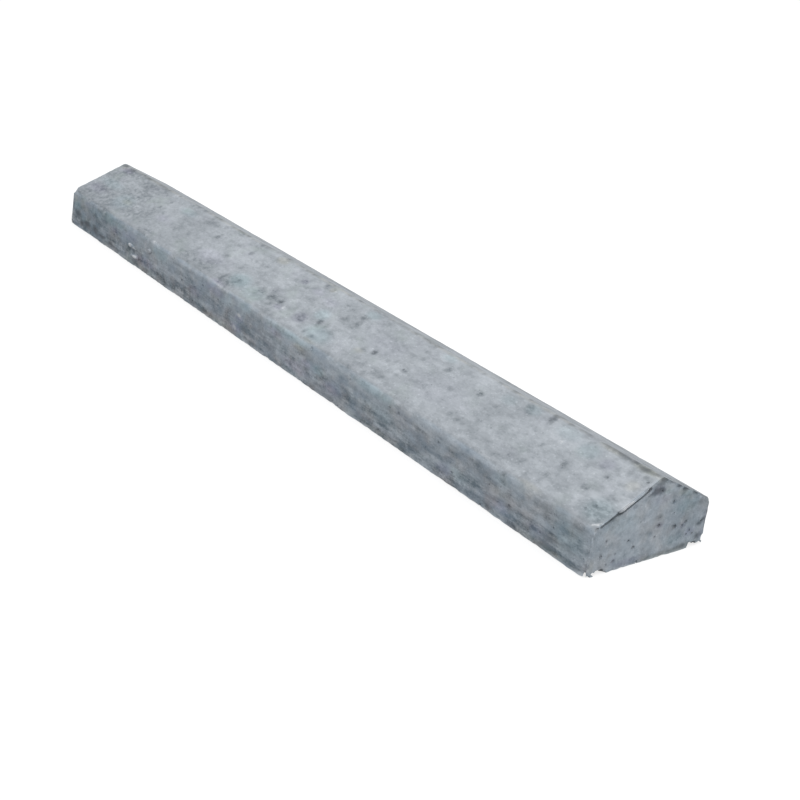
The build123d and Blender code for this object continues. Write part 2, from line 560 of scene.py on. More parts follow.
# Dabs on the slopes by millimetres along, down, half length, half width and strength
dabs_on_slope = {
    "dirty": [
        (-440, 36, 150, 70, 0.63), (-310, 36, 130, 70, 0.32), (-90, 50, 110, 36, 0.1), (-486, 4, 8, 5, 0.8),
        (-466, 4, 11, 4, 0.9), (-458, 9, 11, 4, 0.5), (-400, 10, 120, 5, 0.35), (-443, 4, 6, 4, 0.5),
        (-455, 26, 14, 5, 0.4), (-395, 27, 17, 8, 0.5), (-394, 36, 13, 5, 0.35), (-385, 12, 15, 5, 0.45),
        (-370, 4, 8, 4, 0.5), (-358, 10, 7, 4, 0.5), (-334, 15, 7, 3.5, 0.7), (-335, 22, 6, 4, 0.5),
        (-338, 29, 7, 3, 0.7), (-344, 37, 7, 4, 0.5), (-327, 35, 11, 4, 0.4), (-353, 50, 9, 4, 0.5),
        (-393, 45, 11, 4, 0.5), (-410, 63, 11, 5, 0.4), (-478, 62, 13, 6, 0.6), (-485, 70, 11, 5, 0.6),
        (-460, 45, 22, 8, 0.4), (-430, 60, 18, 7, 0.4), (-300, 65, 16, 6, 0.4), (-280, 69, 12, 4, 0.4),
        (-205, 23, 7, 4, 0.6), (-160, 38, 7, 4, 0.5), (-133, 19, 6, 4, 0.6), (-155, 50, 12, 6, 0.3),
        (-180, 64, 60, 14, 0.45), (-242, 10, 18, 9, 0.5), (-110, 62, 34, 11, 0.5), (-42, 58, 30, 11, 0.35),
        (-92, 22, 9, 3, 0.4), (-98, 30, 5, 4, 0.4), (-25, 15, 9, 4, 0.5), (5, 7, 6, 6, 0.7),
        (17, 6, 8, 4, 0.6), (-55, 48, 10, 4, 0.6), (-55, 53, 9, 3, 0.9), (-72, 46, 7, 4, 0.4),
        (-42, 42, 7, 5, 0.4), (-33, 52, 13, 9, 0.4), (-20, 58, 13, 6, 0.4), (-16, 50, 6, 4, 1),
        (-12, 57, 9, 3.5, 0.9), (0, 60, 9, 3, 0.5), (-105, 65, 11, 6, 0.5), (-92, 67, 9, 4, 0.4),
        (28, 54, 14, 10, 0.65), (40, 62, 7, 5, 0.4), (54, 47, 7, 6, 0.9), (67, 44, 5, 4, 0.6),
        (80, 48, 8, 8, 0.5), (88, 53, 9, 6, 0.4), (53, 64, 5, 5, 0.6), (68, 65, 9, 4, 0.6),
        (72, 71, 12, 4, 0.5), (84, 62, 7, 5, 0.4), (56, 14, 5, 3, 0.6), (71, 13, 6, 5, 0.4),
        (88, 15, 9, 6, 0.5), (93, 29, 9, 7, 0.75), (74, 28, 6, 5, 0.5), (108, 23, 6, 4, 0.5),
        (26, 26, 5, 3, 0.5), (33, 22, 7, 4, 0.5), (147, 43, 6, 5, 0.8), (136, 46, 8, 3, 0.4),
        (118, 6, 14, 9, 0.3), (180, 60, 12, 9, 0.4), (197, 42, 7, 5, 0.5), (232, 17, 6, 5, 0.6),
        (286, 22, 6, 4, 0.7), (297, 56, 7, 4, 0.4), (340, 8, 7, 7, 0.5), (345, 15, 6, 4, 0.4),
        (369, 7, 6, 6, 0.9), (371, 17, 5, 5, 0.4), (386, 33, 4, 4, 0.6), (364, 32, 4, 3, 0.5),
        (343, 43, 8, 4, 0.45), (392, 45, 7, 5, 0.3), (388, 58, 5, 6, 0.45), (366, 65, 5, 3, 0.4),
        (346, 69, 5, 4, 0.4), (420, 37, 4, 4, 0.6), (422, 43, 4, 4, 0.6), (418, 55, 5, 5, 0.6),
        (406, 67, 9, 6, 0.4), (443, 53, 5, 5, 0.3), (460, 27, 5, 3, 0.5), (455, 45, 7, 4, 0.7),
        (452, 20, 7, 5, 0.35), (433, 9, 4, 6, 0.4), (445, 2, 9, 4, 0.6), (485, 3, 9, 4, 1),
        (466, 2, 8, 3, 0.6), (492, 12, 3.5, 4, 0.9), (472, 10, 6, 6, 0.4), (485, 57, 22, 19, 0.75),
        (478, 54, 4, 4, 0.6), (492, 67, 5, 5, 0.5), (494, 30, 5, 5, 0.4), (480, 42, 13, 6, 0.35),
        (413, 2, 12, 3, 0.4), (490, -24, 14, 7, 1), (486, -34, 16, 5, 0.7), (485, -50, 18, 7, 1),
        (480, -12, 16, 6, 0.6), (-445, 2, 62, 6, 0.6), (455, 1, 45, 5, 0.5), (-430, 73, 90, 5, 0.6),
        (-300, 73, 70, 4, 0.5),
    ],
    "pale": [
        (-48, 29, 36, 13, 0.5), (-205, 18, 34, 9, 0.55), (-185, 45, 34, 11, 0.5), (-150, 23, 22, 7, 0.55),
        (-115, 28, 24, 9, 0.55), (-73, 36, 7, 4, 0.6), (-97, 31, 5, 3, 0.6), (5, 17, 11, 6, 0.4),
        (-10, 20, 15, 9, 0.3), (45, 38, 13, 9, 0.6), (-5, 54, 7, 5, 1), (10, 55, 9, 5, 0.4),
        (3, 64, 11, 3, 0.5), (-5, 41, 13, 4, 0.5), (105, 45, 9, 6, 0.4), (108, 63, 9, 6, 0.5),
        (-78, 10, 7, 4, 0.5), (-70, 72, 13, 3, 0.5), (-115, 72.5, 22, 3, 0.5), (-40, 70, 13, 5, 0.3),
        (-368, 44, 8, 3, 0.8), (-378, 55, 5, 3, 0.4), (-440, 54, 6, 3, 0.5), (-452, 61, 7, 3, 0.4),
        (-365, 22, 9, 4, 0.4), (-350, 17, 6, 3, 0.4), (-270, 72, 8, 4, 0.9), (-295, 40, 27, 15, 0.4),
        (-270, 55, 18, 9, 0.4), (-215, 14, 20, 8, 0.4), (170, 50, 26, 10, 0.3), (195, 47, 9, 4, 0.5),
        (250, 50, 40, 16, 0.25), (330, 40, 60, 24, 0.2), (397, 21, 5, 4, 1), (470, 16, 5, 4, 0.7),
        (460, 57, 12, 9, 0.5), (405, 72, 8, 4, 0.4), (212, 8, 16, 6, 0.4), (497.5, 40, 3, 9, 1),
        (497, 65, 4.5, 2.6, 1), (494.5, 67.5, 4.5, 2.6, 1), (491.5, 70, 4.5, 2.6, 1),
        (488, 72.5, 4.5, 2.6, 0.9), (300, 69, 170, 5, 0.4), (495, 15, 4, 11, 0.4),
    ],
    "teal": [
        (-460, 36, 42, 11, 0.6), (-400, 50, 32, 22, 0.6), (-290, 15, 27, 9, 0.6), (-95, 55, 27, 16, 1),
        (-60, 60, 32, 15, 0.5), (45, 38, 16, 12, 0.8), (70, 60, 32, 17, 0.8), (95, 8, 16, 8, 0.7),
        (220, 6, 16, 6, 0.5), (345, 8, 14, 9, 0.6), (395, 10, 22, 11, 0.4), (425, 15, 18, 13, 0.6),
        (484, 57, 22, 19, 0.7), (315, 12, 14, 9, 0.4),
    ],
    "plum": [
        (-473, 8, 20, 7, 1), (-470, 52, 32, 11, 0.6), (-310, 40, 18, 9, 0.5), (-25, 15, 11, 6, 0.6),
        (5, 17, 13, 7, 0.5), (35, 20, 16, 9, 0.4), (28, 54, 16, 11, 0.6), (-12, 57, 11, 5, 0.7),
        (-115, 71, 22, 5, 0.9), (450, 17, 12, 9, 0.5), (-170, 50, 42, 16, 0.4), (150, 30, 42, 21, 0.2),
        (250, 40, 60, 26, 0.15),
    ],
    "olive": [
        (480, 2, 24, 5, 1), (440, 2, 22, 4, 0.8), (485, 22, 10, 9, 0.6), (-85, 6, 16, 8, 0.9),
        (0, 0, 130, 4, 0.5), (-400, 0, 110, 5, 0.6), (-485, 5, 12, 7, 0.7), (-393, 47, 16, 6, 0.7),
        (130, 50, 10, 5, 0.6), (17, 6, 8, 5, 0.8), (200, 0, 120, 4, 0.5), (-200, 0, 100, 4, 0.5),
        (70, 71, 16, 4, 0.6), (415, 72, 22, 5, 0.6), (340, 0, 90, 4, 0.5),
    ],
    "black": [
        (-491, 3, 9, 4, 0.4), (-468, 4, 12, 4, 0.4), (-448, 3, 9, 3, 0.35), (-425, 3, 12, 3, 0.3),
        (478, 3, 10, 4, 0.6), (465, 1, 8, 3, 0.5), (487, 9, 4, 3, 0.5), (492, 12, 3, 3, 0.5),
        (-466, 3, 6, 3, 0.4), (448, 0, 9, 3, 0.35), (430, 0, 7, 3, 0.3), (412, 1, 6, 3, 0.3),
        (492, 1, 6, 3, 0.5), (368, 7, 5, 3, 0.3), (-487, 2, 5, 3, 0.4), (-374, 2, 5, 2.5, 0.3),
        (-180, 1, 5, 3, 0.3), (-55, 0, 6, 3, 0.3), (60, 0, 5, 3, 0.3), (147, 43, 5, 3, 0.4),
        (-55, 50, 5, 2, 0.25), (-16, 50, 5, 2, 0.3), (55, 47, 4, 2, 0.25),
    ],
}
# Dabs on the side by millimetres along, up, half length, half height and strength
dabs_on_side = {
    "dirty": [
        (-420, 24, 170, 40, 0.65), (-430, 43, 90, 6, 0.7), (-290, 43, 70, 4, 0.4), (-478, 22, 18, 10, 0.9),
        (-482, 10, 17, 11, 0.9), (-463, 10, 8, 4, 1), (-440, 12, 26, 6, 1), (-410, 10, 32, 6, 0.9),
        (-380, 9, 22, 7, 0.9), (-425, 25, 13, 7, 0.5), (-355, 20, 13, 4, 0.6), (-338, 20, 13, 6, 0.7),
        (-328, 18, 7, 4, 0.8), (-310, 7, 16, 4, 0.7), (-280, 14, 22, 7, 0.5), (-345, 8, 16, 5, 0.6),
        (-260, 24, 14, 5, 0.5), (-215, 8, 24, 7, 0.7), (-165, 17, 24, 7, 0.6), (-205, 26, 20, 4, 0.35),
        (-115, 15, 24, 8, 0.8), (-85, 14, 13, 4, 0.8), (-45, 20, 22, 5, 0.6), (-45, 15, 28, 5, 0.7),
        (-125, 22, 16, 6, 0.5), (-70, 32, 10, 4, 0.5), (-35, 34, 28, 5, 0.35), (-15, 24, 9, 3, 0.6),
        (-20, 12, 42, 9, 0.4), (12, 26, 7, 3.5, 0.6), (32, 20, 11, 5, 0.7), (20, 12, 15, 6, 0.5),
        (75, 26, 7, 4, 0.6), (98, 25, 11, 5, 0.8), (110, 22, 11, 6, 0.5), (100, 8, 10, 5, 0.5),
        (118, 12, 10, 6, 0.6), (150, 14, 22, 9, 0.6), (178, 30, 16, 4, 0.4), (205, 12, 12, 6, 0.4),
        (245, 18, 14, 6, 0.4), (270, 32, 16, 4, 0.6), (315, 32, 20, 4, 0.8), (365, 31, 22, 4, 0.8),
        (386, 34, 5, 3.5, 0.9), (412, 31, 6, 3, 0.9), (310, 22, 22, 4.5, 0.7), (330, 12, 27, 9, 0.45),
        (412, 24, 5, 4, 0.7), (415, 16, 9, 4, 0.9), (440, 14, 27, 4.5, 0.9), (434, 13, 5, 4, 0.8),
        (405, 9, 9, 4, 0.8), (392, 9, 9, 4, 0.6), (460, 7, 32, 2.6, 0.9), (410, 3, 14, 2.4, 0.8),
        (433, 4, 6, 3, 0.8), (470, 3, 22, 2.4, 0.7), (487, 28, 5, 6, 0.7), (488, 40, 7, 4, 0.6),
        (470, 30, 13, 13, 0.25),
    ],
    "pale": [
        (-325, 23.5, 10, 4.4, 1), (-314, 22, 8, 4, 1), (-342, 25, 5, 3, 0.6), (-311, 12, 12, 4, 1),
        (-276, 31, 6, 7, 0.6), (-290, 34, 11, 2.5, 0.5), (-300, 28, 11, 2.5, 0.4), (-270, 43, 9, 4, 0.7),
        (-425, 18.5, 11, 2.4, 0.5), (-61, 26, 10, 5, 1), (-68, 9, 10, 7, 0.9), (-58, 15, 9, 5, 0.5),
        (-82, 37, 7, 6, 0.35), (0, 33, 11, 4, 0.4), (5, 22, 9, 4, 0.4), (90, 31, 13, 4, 0.5),
        (90, 17, 11, 3.5, 0.6), (103, 13, 9, 4, 0.4), (440, 18.5, 9, 2.6, 0.9), (447, 22, 7, 3, 0.5),
        (455, 9.5, 14, 2.4, 0.8), (335, 27, 18, 3, 0.5), (385, 22, 9, 3, 0.4), (392, 15, 7, 4, 0.4),
        (415, 41, 22, 5, 0.35), (480, 13, 17, 9, 0.3), (-120, 44, 130, 3, 0.8), (20, 43.5, 60, 2.6, 0.6),
        (60, 40, 100, 7, 0.6), (200, 40, 110, 7, 0.6), (320, 41, 80, 6, 0.5), (-390, 40, 60, 5, 0.3),
        (300, 1, 200, 2.4, 0.5), (470, 0.5, 30, 2.4, 0.5), (497, 30, 4, 18, 0.45),
    ],
    "teal": [
        (-380, 38, 62, 9, 0.8), (-430, 33, 32, 9, 0.6), (-482, 28, 16, 9, 1), (-250, 35, 32, 11, 0.7),
        (-90, 34, 24, 11, 0.6), (-50, 38, 22, 7, 0.6), (40, 40, 62, 7, 0.8), (100, 24, 16, 8, 1),
        (190, 40, 52, 7, 0.8), (200, 20, 42, 13, 0.4), (330, 14, 18, 9, 0.6), (385, 36, 16, 9, 0.5),
        (472, 24, 30, 22, 0.6),
    ],
    "plum": [
        (-330, 33, 32, 9, 0.5), (-370, 28, 14, 7, 0.8), (-455, 36, 16, 7, 0.5), (-285, 14, 37, 8, 0.9),
        (-115, 36, 32, 8, 0.8), (-65, 10, 18, 8, 0.9), (-60, 22, 14, 6, 0.8), (15, 34, 20, 7, 0.7),
        (60, 12, 42, 9, 0.7), (75, 22, 14, 7, 0.9), (125, 14, 22, 9, 0.9), (310, 10, 16, 9, 0.6),
        (390, 12, 16, 8, 0.6), (434, 14, 16, 5, 0.6), (-160, 20, 22, 9, 0.7),
    ],
    "olive": [
        (385, 24, 18, 5, 0.3), (415, 40, 18, 5, 0.3), (450, 3, 52, 4, 0.8), (60, 34, 14, 5, 0.8),
        (-100, 4, 62, 5, 0.6), (-488, 36, 7, 7, 0.8), (200, 3, 90, 4, 0.5), (-300, 3, 80, 4, 0.5),
    ],
    "black": [
        (-494, 25, 6, 15, 0.3), (-492, 14, 7, 5, 0.3), (-466, 9, 8, 4, 0.8), (-450, 12, 16, 5, 0.8),
        (-425, 12, 14, 5, 0.75), (-405, 9, 14, 4, 0.8), (-388, 12, 7, 5, 0.4), (-380, 8, 10, 4, 0.7),
        (-478, 18, 15, 9, 0.55), (-470, 28, 8, 5, 0.25), (-375, 6, 12, 3, 0.3), (-328, 18, 7, 3, 0.5),
        (-315, 18, 5, 3, 0.4), (-307, 4, 8, 3, 0.4), (-265, 9, 12, 4, 0.25), (-355, 21, 12, 3, 0.3),
        (-415, 24, 12, 4, 0.25), (-295, 39, 10, 3, 0.2), (-435, 8, 40, 4, 0.3),
    ],
}
# Dabs on the near end by millimetres across, up, half width, half height and strength
dabs_on_end = {
    "dirty": [
        (-3, 66, 15, 10, 0.8), (2, 67, 6, 6, 1), (-8, 69, 6, 5, 0.7), (3, 77, 8, 5, 1),
        (14, 75, 14, 4, 0.8), (25, 67, 7, 4, 1), (33, 58, 9, 7, 0.6), (33, 63, 6, 4, 0.7),
        (50, 56, 7, 4, 1), (40, 30, 40, 40, 0.25), (23, 52, 7, 4, 0.5), (20, 59, 8, 5, 0.4),
        (65, 23, 7, 4, 1), (70, 26, 5, 5, 0.8), (72, 35, 5, 13, 0.6), (66, 10, 12, 6, 0.9),
        (48, 5, 18, 5, 1), (20, 3, 60, 4, 0.7), (-3, 26, 7, 4, 0.5), (8, 32, 9, 4, 0.5),
        (5, 41, 8, 5, 0.35), (29, 26, 6, 4, 0.5), (41, 25, 6, 4, 0.5), (30, 14, 8, 6, 0.4),
        (40, 13, 8, 7, 0.4), (52, 18, 7, 5, 0.5), (-47, 54, 5, 3, 0.6), (-55, 48.5, 5, 3, 0.7),
        (-63, 45, 5, 3, 0.5), (-2, 72.5, 9, 4, 0.8), (-34, 46, 6, 7, 0.35), (-28, 57, 5, 3, 0.6),
        (-60, 47, 10, 4, 0.5), (-72, 30, 5, 16, 0.3), (-40, 6, 14, 5, 0.4), (-10, 6, 24, 4, 0.3),
        (45, 28, 4, 3, 0.5), (-15, 45, 6, 4, 0.25),
    ],
    "pale": [
        (-20, 40, 60, 20, 0.25), (12, 29, 4, 3, 0.5), (-10, 20, 30, 8, 0.3), (20, 33, 14, 3, 0.35),
        (-45, 40, 20, 10, 0.3), (-60, 12, 12, 8, 0.3), (-10, 61, 12, 5, 0.3), (-73, 32, 4, 14, 0.45),
    ],
    "teal": [
        (42, 45, 24, 11, 0.7), (12, 64, 9, 5, 0.6), (45, 57, 16, 6, 0.6), (-40, 45, 32, 15, 0.3),
        (30, 14, 18, 9, 0.4),
    ],
    "plum": [
        (-2, 68, 13, 7, 0.7), (5, 58, 16, 8, 0.4), (72, 30, 6, 14, 0.6), (52, 17, 11, 7, 0.6),
        (9, 32, 7, 5, 0.6), (-25, 5, 26, 5, 0.6), (70, 12, 8, 10, 0.5), (41, 25, 6, 5, 0.6),
        (-43, 9, 5, 5, 0.5),
    ],
    "black": [
        (-1, 73, 8, 3.5, 0.35), (2, 66.5, 7, 5, 0.6), (-6, 67, 13, 6, 0.7), (3, 77, 9, 4, 0.7),
        (25, 67, 6, 3, 0.8), (50, 56, 6, 3, 0.8), (38, 62, 12, 3, 0.4), (63, 22, 6, 3, 0.5),
        (69, 26, 5, 3.5, 0.6), (73, 33, 3, 12, 0.4), (30, 3, 40, 3, 0.25), (67, 10, 8, 3, 0.5),
        (45, 4, 12, 3, 0.4), (35, 62, 6, 3, 0.4), (15, 73, 10, 3, 0.4),
    ],
    "olive": [
        (20, 2, 42, 4, 0.8), (32, 60, 12, 6, 0.8), (0, 78, 10, 4, 0.8), (48, 4, 18, 5, 0.6),
        (-70, 10, 6, 9, 0.4),
    ],
}
# Each dab also reaches a little way in from its face, since the skin under it is worn and pitted.
side_dab_thickness = 6 * mm
end_dab_thickness = 3 * mm
for name, dabs in dabs_on_slope.items():
    for along, down, half_along, half_down, strength in dabs:
        half_sizes = (half_along * mm, 1.2 * half_down * mm, (0.6 * half_down + 2) * mm)
        dab(paint[name], slope_place(along, down), half_sizes, strength)
for name, dabs in dabs_on_side.items():
    for along, up, half_along, half_up, strength in dabs:
        half_sizes = (half_along * mm, side_dab_thickness, half_up * mm)
        dab(paint[name], side_place(along, up), half_sizes, strength)
for name, dabs in dabs_on_end.items():
    for across, up, half_across, half_up, strength in dabs:
        half_sizes = (end_dab_thickness, half_across * mm, half_up * mm)
        dab(paint[name], end_place(across, up), half_sizes, strength)

# A broken dark line of small marks is painted just past the ridge.
ridge_marks = 90
for _ in range(ridge_marks):
    place = slope_place(chance.uniform(-495, 495), chance.uniform(-5, 2))
    half_sizes = (chance.uniform(3, 8) * mm, 5 * mm, 4 * mm)
    dab(paint["black"], place, half_sizes, chance.uniform(0.15, 0.5))

# The flash, which stands proud of the end, is painted pale along its edge as a painted highlight, fully
# where it is torn. The gap behind it is painted black as shade, the darker the deeper it lies under the
# skin that was there before the cuts.
proud_of_end = 0.2 * mm
flash_torn_past = -33 * mm
gap_behind_end = 9 * mm
gap_under_slope = 8 * mm
gap_from_ridge = 8 * mm
gap_dark_depth = 1.2 * mm
gap_darkest = 0.6
for i, vertex in enumerate(coping_mesh.vertices):
    x, y, z = vertex.co
    under_end = half_length - z * math.tan(mould_draft) - x
    under_slope = (ridge_height - z - abs(y) * math.tan(pitch)) * math.cos(pitch)
    if under_end < -proud_of_end:
        paint["pale"][i] = 1 if y < flash_torn_past else 0.55
    elif under_end < gap_behind_end and under_slope < gap_under_slope and y < -gap_from_ridge:
        _, _, _, depth = skin.find_nearest(vertex.co)
        paint["black"][i] = min(gap_darkest, depth / gap_dark_depth)

# The air holes and a little way round them are painted darker, less where they face up
hole_dark_reach = 1.5
darkening_facing_up = 0.1
darkening_elsewhere = 0.4
for place, normal, radius in air_holes:
    half_size = radius * hole_dark_reach
    strength = darkening_facing_up if normal.z > 0.5 else darkening_elsewhere
    dab(paint["black"], place, (half_size, half_size, half_size), strength)

# The far slope, which is a shade darker and browner from just before the ridge on
before_ridge = 7 * mm
darkening_width = 9 * mm
for i, vertex in enumerate(coping_mesh.vertices):
    if vertex.normal.z > 0.3:
        past_start = max(0, vertex.co.y + before_ridge)
        paint["hidden_slope"][i] = 1 - fade(past_start, darkening_width)
for name, layer in paint.items():
    coping_mesh.attributes.new(name, 'FLOAT', 'POINT').data.foreach_set("value", layer)

concrete = bpy.data.materials.new("cast concrete")
concrete.use_nodes = True
concrete_nodes = concrete.node_tree.nodes
concrete_links = concrete.node_tree.links
position = concrete_nodes.new("ShaderNodeTexCoord").outputs["Object"]


def feed(socket, source):
    """Sets a socket, or links it to what feeds it."""
    if isinstance(source, bpy.types.NodeSocket):
        concrete_links.new(source, socket)
    else:
        socket.default_value = source


def sums(operation, first, second):
    """A Math node on two values."""
    node = concrete_nodes.new("ShaderNodeMath")
    node.operation = operation
    feed(node.inputs[0], first)
    feed(node.inputs[1], second)
    return node.outputs[0]


def rise(value, low, high, top=1):
    """0 below the low value and the top above the high one, with a smooth rise between."""
    node = concrete_nodes.new("ShaderNodeMapRange")
    node.interpolation_type = 'SMOOTHSTEP'
    feed(node.inputs["Value"], value)
    node.inputs["From Min"].default_value = low
    node.inputs["From Max"].default_value = high
    node.inputs["To Max"].default_value = top
    return node.outputs[0]


def squeezed_place(stretch):
    """The place on the coping, squeezed along X so that a pattern on it is drawn out."""
    node = concrete_nodes.new("ShaderNodeMapping")
    feed(node.inputs["Vector"], position)
    node.inputs["Scale"].default_value = (1 / stretch, 1, 1)
    return node.outputs[0]


def clouds(size, detail=3, stretch=1):
    """Soft noise between 0 and 1, with clouds of a given size that can be drawn out along the coping."""
    node = concrete_nodes.new("ShaderNodeTexNoise")
    feed(node.inputs["Vector"], squeezed_place(stretch))
    node.inputs["Scale"].default_value = 1 / size
    node.inputs["Detail"].default_value = detail
    node.inputs["Roughness"].default_value = 0.55
    return node.outputs["Fac"]


def mottle(strength, size, detail=3, stretch=1):
    """Clouds that go as far below 0 as above it, half the given strength each way."""
    return sums('MULTIPLY', strength, sums('SUBTRACT', clouds(size, detail, stretch), 0.5))


def specks(size, width, share):
    """Round specks on a share of the cells of the given size, as wide as a part of the cell."""
    node = concrete_nodes.new("ShaderNodeTexVoronoi")
    feed(node.inputs["Vector"], position)
    node.inputs["Scale"].default_value = 1 / size
    cell = concrete_nodes.new("ShaderNodeSeparateColor")
    feed(cell.inputs[0], node.outputs["Color"])
    chosen = sums('LESS_THAN', cell.outputs[0], share)
    return sums('MULTIPLY', chosen, sums('SUBTRACT', 1, rise(node.outputs["Distance"], width * 0.5, width)))


def painted(layer_name):
    """How much of the named paint is on the skin."""
    node = concrete_nodes.new("ShaderNodeAttribute")
    node.attribute_name = layer_name
    return node.outputs["Fac"]


def tinted(under, colour, mask, blend='MIX'):
    """A colour laid over what is under it, where the mask is above 0."""
    node = concrete_nodes.new("ShaderNodeMix")
    node.data_type = 'RGBA'
    node.blend_type = blend
    feed(node.inputs["Factor"], mask)
    feed(node.inputs["A"], under)
    node.inputs["B"].default_value = (*colour, 1)
    return node.outputs["Result"]


where = concrete_nodes.new("ShaderNodeSeparateXYZ")
feed(where.inputs[0], position)
from_middle = sums('ABSOLUTE', where.outputs["Y"], 0)
height = where.outputs["Z"]


def fall(value, low, high):
    """1 below the low value and 0 above the high one."""
    return sums('SUBTRACT', 1, rise(value, low, high))


def wavering(value, size, reach, stretch=1):
    """A distance that wanders back and forth, so that what follows it has no straight edge."""
    return sums('ADD', value, mottle(2 * reach, size, stretch=stretch))


# Where on the coping each part of the pattern goes
along_coping = where.outputs["X"]
from_ends = sums('ADD', sums('ABSOLUTE', along_coping, 0), sums('MULTIPLY', height, math.tan(mould_draft)))
on_sides = rise(from_middle, 70 * mm, 72.5 * mm)
on_ends = rise(from_ends, 498 * mm, 499.2 * mm)
low_down = fall(wavering(height, size=14 * mm, reach=10 * mm, stretch=3), 6 * mm, 40 * mm)
low_on_side = sums('MULTIPLY', on_sides, low_down)
from_eaves_down = fall(wavering(height, size=20 * mm, reach=14 * mm, stretch=1.5), 42 * mm, 62 * mm)
past_ridge = rise(wavering(painted("hidden_slope"), size=9 * mm, reach=0.4, stretch=2), 0.3, 0.9)

# How dry and pale the cement is, from 0 for damp or dirty to 1, with painted shade and a painted highlight
# laid into it as well. Each line adds or takes off one kind of mottling. First come the clouds, of which
# the finest are fainter at the far end, then patches and specks.
mean_dryness = 0.66
fine_share = sums('ADD', 0.5, rise(along_coping, -430 * mm, -180 * mm, top=0.5))
dryness_and_painted_light = sums('ADD', mean_dryness, mottle(0.6, size=60 * mm))
dryness_and_painted_light = sums('ADD', dryness_and_painted_light, mottle(0.6, size=14 * mm, stretch=2))
fine_clouds = mottle(0.3, size=2.8 * mm, detail=2, stretch=1.5)
dryness_and_painted_light = sums('ADD', dryness_and_painted_light, sums('MULTIPLY', fine_share, fine_clouds))
for size, stretch, contrast in ((16 * mm, 2, 0.06), (7 * mm, 1.7, 0.1), (3.2 * mm, 1.4, 0.05)):
    firm_clouds = rise(clouds(size, stretch=stretch), 0.42, 0.58)
    patches = sums('MULTIPLY', contrast, sums('SUBTRACT', firm_clouds, 0.5))
    dryness_and_painted_light = sums('ADD', dryness_and_painted_light, sums('MULTIPLY', fine_share, patches))
dryness_and_painted_light = sums('ADD', dryness_and_painted_light, sums('MULTIPLY', 0.12, specks(size=2.8 * mm, width=0.42, share=0.35)))
dryness_and_painted_light = sums('ADD', dryness_and_painted_light, sums('MULTIPLY', 0.22, specks(size=7 * mm, width=0.22, share=0.16)))
dryness_and_painted_light = sums('SUBTRACT', dryness_and_painted_light, sums('MULTIPLY', 0.1, specks(size=3.6 * mm, width=0.42, share=0.3)))

# What is painted: dirt and bloom with ragged edges, the bloom also carrying the painted highlight on the
# flash, and blots with a little dirt in them and painted shade along their rims
ragged = rise(clouds(size=4.5 * mm, stretch=1.3), 0.38, 0.6)
dirt = sums('MULTIPLY', painted("dirty"), sums('ADD', 0.14, sums('MULTIPLY', 0.32, ragged)))
dryness_and_painted_light = sums('SUBTRACT', dryness_and_painted_light, dirt)
bloom_and_highlight = sums('MULTIPLY', painted("pale"), sums('ADD', 0.08, sums('MULTIPLY', 0.26, ragged)))
dryness_and_painted_light = sums('ADD', dryness_and_painted_light, bloom_and_highlight)
blot_rims = sums('MULTIPLY', painted("blotted"), sums('SUBTRACT', 1, painted("blotted")))
blot_marks = sums('ADD', sums('MULTIPLY', 0.13, painted("blotted")), sums('MULTIPLY', 0.6, blot_rims))
blot_gaps = rise(clouds(size=3.2 * mm, detail=2, stretch=1.4), 0.3, 0.55)
dryness_and_painted_light = sums('SUBTRACT', dryness_and_painted_light, sums('MULTIPLY', blot_marks, blot_gaps))

# The sides are streaked along their length, most of all low down. The foot, the eaves and the far slope are
# painted a little darker than the rest.
streaks = mottle(1.5, size=4.5 * mm, stretch=8)
blotches = mottle(1.5, size=9 * mm, stretch=1.5)
grains = mottle(0.7, size=1.5 * mm, detail=1, stretch=1.5)
rough_parts = sums('ADD', sums('ADD', streaks, blotches), grains)
rough_parts = sums('MULTIPLY', rough_parts, sums('ADD', 0.6, sums('MULTIPLY', 0.7, low_down)))
dryness_and_painted_light = sums('ADD', dryness_and_painted_light, sums('MULTIPLY', on_sides, sums('ADD', rough_parts, 0.13)))
dryness_and_painted_light = sums('SUBTRACT', dryness_and_painted_light, sums('MULTIPLY', low_on_side, 0.15))
dryness_and_painted_light = sums('SUBTRACT', dryness_and_painted_light, sums('MULTIPLY', from_eaves_down, 0.1))
far_slope_mottle = rise(clouds(size=24 * mm), 0.5, 0.64, top=0.16)
dryness_and_painted_light = sums('SUBTRACT', dryness_and_painted_light, sums('MULTIPLY', past_ridge, sums('ADD', 0.05, far_slope_mottle)))

# The colours of the cement: damp and dry, which also carry painted shade and a painted highlight, then the
# tints of algae, pigment and earth that lie over them in clouds, a painted blue of sky-lit shade on the
# sides and ends, the fainter painted ones, the paste of fresh chips with the painted highlight on the
# flash, and black dirt with the painted shade in the gap behind the flash
damp_and_shaded_cement = (0.143, 0.166, 0.187, 1)
dry_and_highlit_cement = (0.545, 0.584, 0.629)
algae_green = (0.35, 0.42, 0.39)
pigment_purple = (0.42, 0.42, 0.5)
side_shade_blue = (0.29, 0.35, 0.43)
foot_brown = (0.37, 0.345, 0.358)
far_slope_brown = (0.35, 0.34, 0.33)
sky_lit_shade_blue = (0.38, 0.55, 0.7)
teal_tint = (0.92, 1.02, 1.02)
plum_tint = (1, 0.955, 1.04)
olive_tint = (1.03, 0.99, 0.9)
fresh_paste_and_highlight = (0.62, 0.65, 0.68)
black_dirt_and_shade = (0.107, 0.12, 0.136)

cement = tinted(damp_and_shaded_cement, dry_and_highlit_cement, dryness_and_painted_light)
less_near = sums('SUBTRACT', 1, rise(along_coping, 50 * mm, 350 * mm, top=0.45))
greenish = sums('MULTIPLY', less_near, rise(clouds(size=34 * mm), 0.54, 0.72, top=0.28))
cement = tinted(cement, algae_green, greenish)
purplish = sums('MULTIPLY', less_near, rise(clouds(size=22 * mm, stretch=1.4), 0.54, 0.72, top=0.13))
cement = tinted(cement, pigment_purple, purplish)
